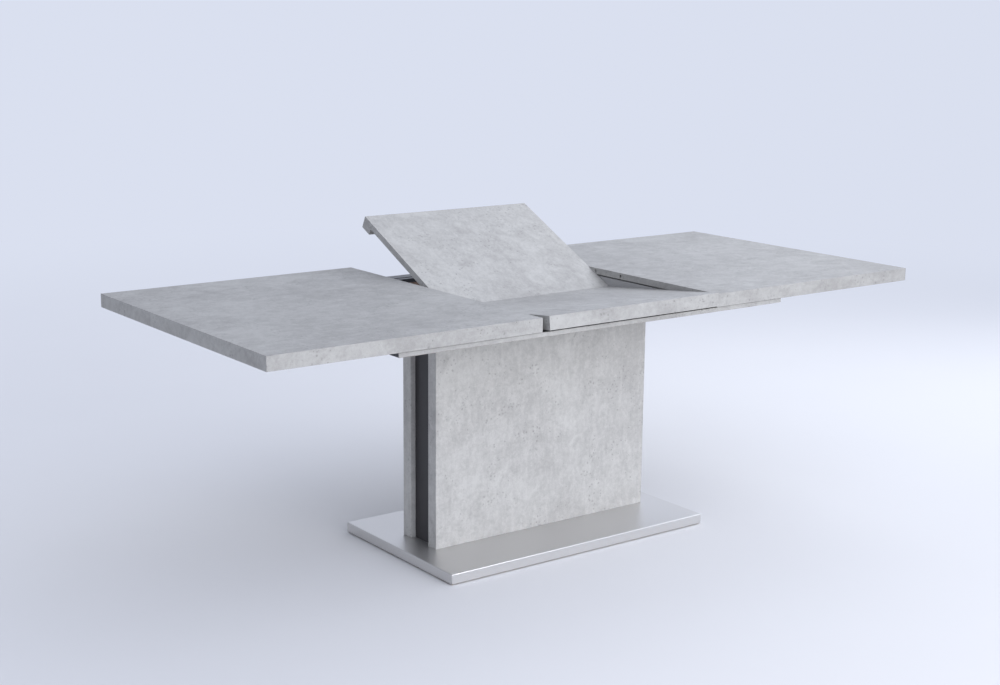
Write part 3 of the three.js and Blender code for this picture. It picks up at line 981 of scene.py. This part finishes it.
class DINING_OT_hinges(bpy.types.Operator):
    """Concealed hinges at the crease: ribbed barrels let into the boards, and curved links"""
    bl_idname = "dining.hinges"
    bl_label = "Centre hinges"

    def execute(self, context):
        for side, sy, links in (("front", -1, (0,)), ("rear", 1, (-2.3 * MM, 2.3 * MM))):
            body, turn = f"insert_{side}_half", TURNS[side]
            for number in range(1, 4):
                node = f"hinge_barrel_{side}_{number}"
                low, high = flat_box(node, turn)
                middle, radius = (low + high) / 2, (high.x - low.x) / 2
                mouth = Vector((middle.x, high.y if sy < 0 else low.y, middle.z))
                barrel = aim(hinge_barrel(radius, high.y - low.y), mouth, (0, sy, 0))
                add_piece(f"{node}_cup", barrel, "zinc_plate", body, [node], turn)
                link = gather([curved_link(x) for x in links])
                bmesh.ops.translate(link, vec=(middle.x, CREASE.y, CREASE.z), verts=link.verts)
                add_piece(f"hinge_link_{side}_{number}", link, "zinc_plate", body, turn=turn)
        return {"FINISHED"}


class DINING_OT_pivots(bpy.types.Operator):
    """The angle brackets and pins that the rear half turns on"""
    bl_idname = "dining.pivots"
    bl_label = "Pivots"

    def execute(self, context):
        body, plate_t, screw_inset = "insert_rear_half", 3 * MM, 9 * MM
        heads = []
        for end, ex in ENDS:
            bracket, pin = f"pivot_bracket_{end}", f"pivot_pin_{end}"
            low, high = flat_box(bracket, REAR_TURN)
            for node, part, edge in ((bracket, "plate", 0.6 * MM), (pin, "shank", 0.7 * MM)):
                add_piece(f"{node}_{part}", eased_copy(node, edge, REAR_TURN), "zinc_plate", body, [node],
                          REAR_TURN)
            x = (low.x + high.x) / 2 - ex * 4 * MM
            for y in (low.y + screw_inset, high.y - screw_inset):
                heads.append(screw_head((x, y, high.z - plate_t), (0, 0, -1), 4 * MM, 2 * MM))
        add_screws("pivot_screws", heads, body, REAR_TURN)
        return {"FINISHED"}


# ---- Studio ----

# How bright the room is at the horizon and on the far floor, how bright in its upper part, and how
# much brighter its upper part is towards +X and -Y.
HORIZON, ZENITH, RIGHT_SIDE, FRONT_SIDE = 0.95, 0.49, 1.2, 1.75
EYE = Vector((-2.809, -3.656, 1.561))
YAW, PITCH, ROLL = math.radians(36.5), math.radians(-12.11), math.radians(0.52)
WARM, COOL = (1.0, 0.985, 0.97), (0.96, 0.98, 1.0)
FLOOR_RADIUS = 60


def side_glow(tree, heading, side, strength, rest):
    """Adds a soft wall of light on one side of the room to its level."""
    facing = add(tree, "ShaderNodeVectorMath", {0: heading, 1: side}, output=1, operation="DOT_PRODUCT")
    return maths(tree, "MULTIPLY_ADD", maths(tree, "MAXIMUM", facing, 0.0), strength, rest)


def room_level(tree):
    """How bright the room is in a direction: even at the horizon, and above it brightest in front."""
    heading = add(tree, "ShaderNodeTexCoord", output=0)
    upper = side_glow(tree, heading, (1, 0, 0), RIGHT_SIDE, ZENITH)
    upper = side_glow(tree, heading, (0, -1, 0), FRONT_SIDE, upper)
    height = add(tree, "ShaderNodeSeparateXYZ", {"Vector": heading}, output=2)
    raised = ranged(tree, height, 0.02, 0.3, 0.0, 1.0, "SMOOTHSTEP")
    return add(tree, "ShaderNodeMix", {0: raised, 2: HORIZON, 3: upper}, data_type="FLOAT")


def paper_floor(name):
    """Seamless studio paper: a matt, even sheet that fades into the room's own light far away."""
    studio = bpy.context.scene.table_studio
    made, tree = new_finish(name)
    own = add(tree, "ShaderNodeTexCoord", output=3)
    grain = noise(tree, own, 0.5, detail=3.0)
    shade = mixed(tree, grain, rgba(studio.floor, 0.99), rgba(studio.floor, 1.01))
    paper = add(tree, "ShaderNodeBsdfDiffuse", {"Color": shade})
    glow = add(tree, "ShaderNodeEmission", {"Color": rgba(studio.air), "Strength": HORIZON})
    distance = add(tree, "ShaderNodeVectorMath", {0: own}, output=1, operation="LENGTH")
    far = ranged(tree, distance, 1.8, 6.5, 0.0, 1.0, "SMOOTHSTEP")
    both = add(tree, "ShaderNodeMixShader", {0: far, 1: paper, 2: glow})
    add(tree, "ShaderNodeOutputMaterial", {"Surface": both})
    return made


def soft_light(name, place, target, size, power, colour):
    """A large square light that the camera doesn't see."""
    lamp = bpy.data.lights.new(name, "AREA")
    lamp.size, lamp.energy, lamp.color = size, power, colour
    made = bpy.data.objects.new(name, lamp)
    made.location = place
    made.rotation_euler = (Vector(target) - Vector(place)).to_track_quat("-Z", "Y").to_euler()
    made.visible_camera = False
    bpy.context.scene.collection.objects.link(made)


class DINING_OT_studio(bpy.types.Operator):
    """The pale floor, the room's light, two soft lights and the camera"""
    bl_idname = "dining.studio"
    bl_label = "Studio"

    def execute(self, context):
        studio = context.scene.table_studio
        bm = bmesh.new()
        bmesh.ops.create_circle(bm, cap_ends=True, segments=96, radius=FLOOR_RADIUS)
        mesh = bpy.data.meshes.new("studio_floor")
        bm.to_mesh(mesh)
        bm.free()
        mesh.materials.append(paper_floor("studio_paper"))
        floor = bpy.data.objects.new("studio_floor", mesh)
        context.scene.collection.objects.link(floor)

        world = bpy.data.worlds.new("studio_room")
        world.use_nodes = True
        tree = world.node_tree
        tree.nodes.clear()
        air = add(tree, "ShaderNodeBackground", {"Color": rgba(studio.air), "Strength": room_level(tree)})
        add(tree, "ShaderNodeOutputWorld", {"Surface": air})
        context.scene.world = world

        soft_light("key_light", (0.4, -4.6, 1.6), (0.2, 0, 0.6), 2.5, studio.key_power, WARM)
        soft_light("side_light", (4.0, -0.5, 1.6), (0.2, 0, 0.6), 2.5, studio.side_power, COOL)
        soft_light("overhead_light", (2.4, 1.0, 2.8), (0.6, 0, 0.7), 2.0, studio.top_power, COOL)

        lens = bpy.data.cameras.new("camera")
        lens.lens, lens.sensor_width = studio.lens, 36
        lens.clip_end = 200
        camera = bpy.data.objects.new("camera", lens)
        ahead = Vector((math.sin(YAW) * math.cos(PITCH), math.cos(YAW) * math.cos(PITCH), math.sin(PITCH)))
        level = ahead.to_track_quat("-Z", "Y").to_matrix().to_4x4()
        camera.matrix_world = Matrix.Translation(EYE) @ level @ Matrix.Rotation(ROLL, 4, "Z")
        context.scene.collection.objects.link(camera)
        context.scene.camera = camera
        context.scene.view_settings.view_transform = "Standard"
        return {"FINISHED"}


OPERATORS = (
    DINING_OT_studio, DINING_OT_base, DINING_OT_glides, DINING_OT_slabs, DINING_OT_spacers,
    DINING_OT_tie_rods, DINING_OT_risers, DINING_OT_cross_rails, DINING_OT_long_rails,
    DINING_OT_battens, DINING_OT_slot_stops, DINING_OT_leaf, DINING_OT_runners, DINING_OT_dowels,
    DINING_OT_insert, DINING_OT_hinges, DINING_OT_pivots,
)


class DINING_PT_table(bpy.types.Panel):
    """Lists the table's pieces in the sidebar"""
    bl_label = "Dining table"
    bl_idname = "DINING_PT_table"
    bl_space_type = "VIEW_3D"
    bl_region_type = "UI"
    bl_category = "Table"

    def draw(self, context):
        for name, group in GROUPS.items():
            box = self.layout.box()
            for field in group.__annotations__:
                box.prop(getattr(context.scene, name), field)
        for operator in OPERATORS:
            self.layout.operator(operator.bl_idname)


CLASSES = (*GROUPS.values(), *OPERATORS, DINING_PT_table)


def register():
    for made in CLASSES:
        bpy.utils.register_class(made)
    for name, group in GROUPS.items():
        setattr(bpy.types.Scene, name, PointerProperty(type=group))


def unregister():
    for name in GROUPS:
        delattr(bpy.types.Scene, name)
    for made in reversed(CLASSES):
        bpy.utils.unregister_class(made)


def main():
    """Builds the whole table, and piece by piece."""
    register()
    for operator in OPERATORS:
        getattr(bpy.ops.dining, operator.bl_idname.split(".")[1])()


if __name__ == "__main__":
    main()
